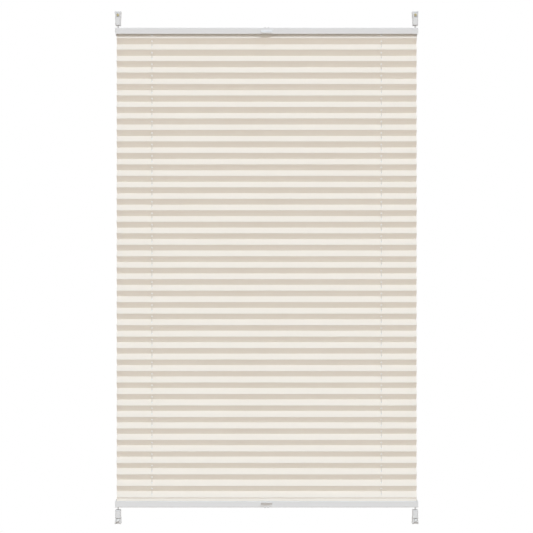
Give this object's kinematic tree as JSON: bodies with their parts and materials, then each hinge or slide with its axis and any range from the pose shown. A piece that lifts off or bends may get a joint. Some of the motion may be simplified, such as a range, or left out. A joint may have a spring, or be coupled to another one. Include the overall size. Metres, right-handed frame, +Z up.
{
  "type": "pleated blind",
  "caption": "Pleated fabric blind with slim white rails, finger handles and guide cords, held by screw-tightened hook clamps that grip the edges of a window sash.",
  "frame": {"origin": "on the room-side face of the window sash, midway between the four clamp seats", "axes": "+Z up along the cords, +Y through the sash away from the room, +X to the right seen from the room"},
  "size_m": [0.802, 0.0547, 1.353],
  "materials": {
    "pleat_cloth": "woven polyester",
    "cord_braid": "braided",
    "rail_coat": "white powder coat",
    "white_plastic": "satin moulded",
    "strip_plastic": "extruded",
    "yellow_zinc": "yellow zinc",
    "bright_zinc": "zinc",
    "pad_foam": "foam"
  },
  "bodies": {
    "fixings": {"pleated_fabric": "pleat_cloth", "left_cord": "cord_braid", "right_cord": "cord_braid", "top_left_clamp_body": "white_plastic", "top_left_cord_shoe": "white_plastic", "top_left_seat_pad": "pad_foam", "top_right_clamp_body": "white_plastic", "top_right_cord_shoe": "white_plastic", "top_right_seat_pad": "pad_foam", "bottom_left_clamp_body": "white_plastic", "bottom_left_cord_shoe": "white_plastic", "bottom_left_seat_pad": "pad_foam", "bottom_right_clamp_body": "white_plastic", "bottom_right_cord_shoe": "white_plastic", "bottom_right_seat_pad": "pad_foam"},
    "top_rail_set": {"top_rail": "rail_coat", "top_handle": "white_plastic", "top_insert_strip": "strip_plastic", "top_left_end_cap": "white_plastic", "top_left_cord_guide": "strip_plastic", "top_right_end_cap": "white_plastic", "top_right_cord_guide": "strip_plastic"},
    "bottom_rail_set": {"bottom_rail": "rail_coat", "bottom_handle": "white_plastic", "bottom_insert_strip": "strip_plastic", "bottom_left_end_cap": "white_plastic", "bottom_left_cord_guide": "strip_plastic", "bottom_right_end_cap": "white_plastic", "bottom_right_cord_guide": "strip_plastic"},
    "top_left_hook_set": {"top_left_clamp_hook": "white_plastic", "top_left_clamp_nut": "bright_zinc", "top_left_hook_pad": "pad_foam"},
    "top_left_screw": {"top_left_clamp_screw": "yellow_zinc"},
    "top_right_hook_set": {"top_right_clamp_hook": "white_plastic", "top_right_clamp_nut": "bright_zinc", "top_right_hook_pad": "pad_foam"},
    "top_right_screw": {"top_right_clamp_screw": "yellow_zinc"},
    "bottom_left_hook_set": {"bottom_left_clamp_hook": "white_plastic", "bottom_left_clamp_nut": "bright_zinc", "bottom_left_hook_pad": "pad_foam"},
    "bottom_left_screw": {"bottom_left_clamp_screw": "bright_zinc"},
    "bottom_right_hook_set": {"bottom_right_clamp_hook": "white_plastic", "bottom_right_clamp_nut": "bright_zinc", "bottom_right_hook_pad": "pad_foam"},
    "bottom_right_screw": {"bottom_right_clamp_screw": "bright_zinc"}
  },
  "joints": [
    {"name": "top_rail_slide", "type": "slide", "parent": "fixings", "child": "top_rail_set", "axis": [0, 0, 1], "range_m": [-0.58, 0], "deforming": ["pleated_fabric", "left_cord", "right_cord"]},
    {"name": "bottom_rail_slide", "type": "slide", "parent": "fixings", "child": "bottom_rail_set", "axis": [0, 0, 1], "range_m": [0, 0.58], "deforming": ["pleated_fabric", "left_cord", "right_cord"]},
    {"name": "top_left_screw_turn", "type": "hinge", "parent": "fixings", "child": "top_left_screw", "pos_m": [-0.3925, 0, 0.6665], "axis": [0, 1, 0], "range_deg": [-1286, 1286]},
    {"name": "top_left_hook_slide", "type": "slide", "parent": "fixings", "child": "top_left_hook_set", "axis": [0, -1, 0], "range_m": [-0.0025, 0.0025]},
    {"name": "top_right_screw_turn", "type": "hinge", "parent": "fixings", "child": "top_right_screw", "pos_m": [0.3925, 0, 0.6665], "axis": [0, 1, 0], "range_deg": [-1286, 1286]},
    {"name": "top_right_hook_slide", "type": "slide", "parent": "fixings", "child": "top_right_hook_set", "axis": [0, -1, 0], "range_m": [-0.0025, 0.0025]},
    {"name": "bottom_left_screw_turn", "type": "hinge", "parent": "fixings", "child": "bottom_left_screw", "pos_m": [-0.3925, 0, -0.6665], "axis": [0, 1, 0], "range_deg": [-1286, 1286]},
    {"name": "bottom_left_hook_slide", "type": "slide", "parent": "fixings", "child": "bottom_left_hook_set", "axis": [0, -1, 0], "range_m": [-0.0025, 0.0025]},
    {"name": "bottom_right_screw_turn", "type": "hinge", "parent": "fixings", "child": "bottom_right_screw", "pos_m": [0.3925, 0, -0.6665], "axis": [0, 1, 0], "range_deg": [-1286, 1286]},
    {"name": "bottom_right_hook_slide", "type": "slide", "parent": "fixings", "child": "bottom_right_hook_set", "axis": [0, -1, 0], "range_m": [-0.0025, 0.0025]}
  ],
  "couplings": [
    {"joint": "top_left_screw_turn", "follows": "top_left_hook_slide", "rad_per_m": 8976},
    {"joint": "top_right_screw_turn", "follows": "top_right_hook_slide", "rad_per_m": 8976},
    {"joint": "bottom_left_screw_turn", "follows": "bottom_left_hook_slide", "rad_per_m": 8976},
    {"joint": "bottom_right_screw_turn", "follows": "bottom_right_hook_slide", "rad_per_m": 8976}
  ]
}
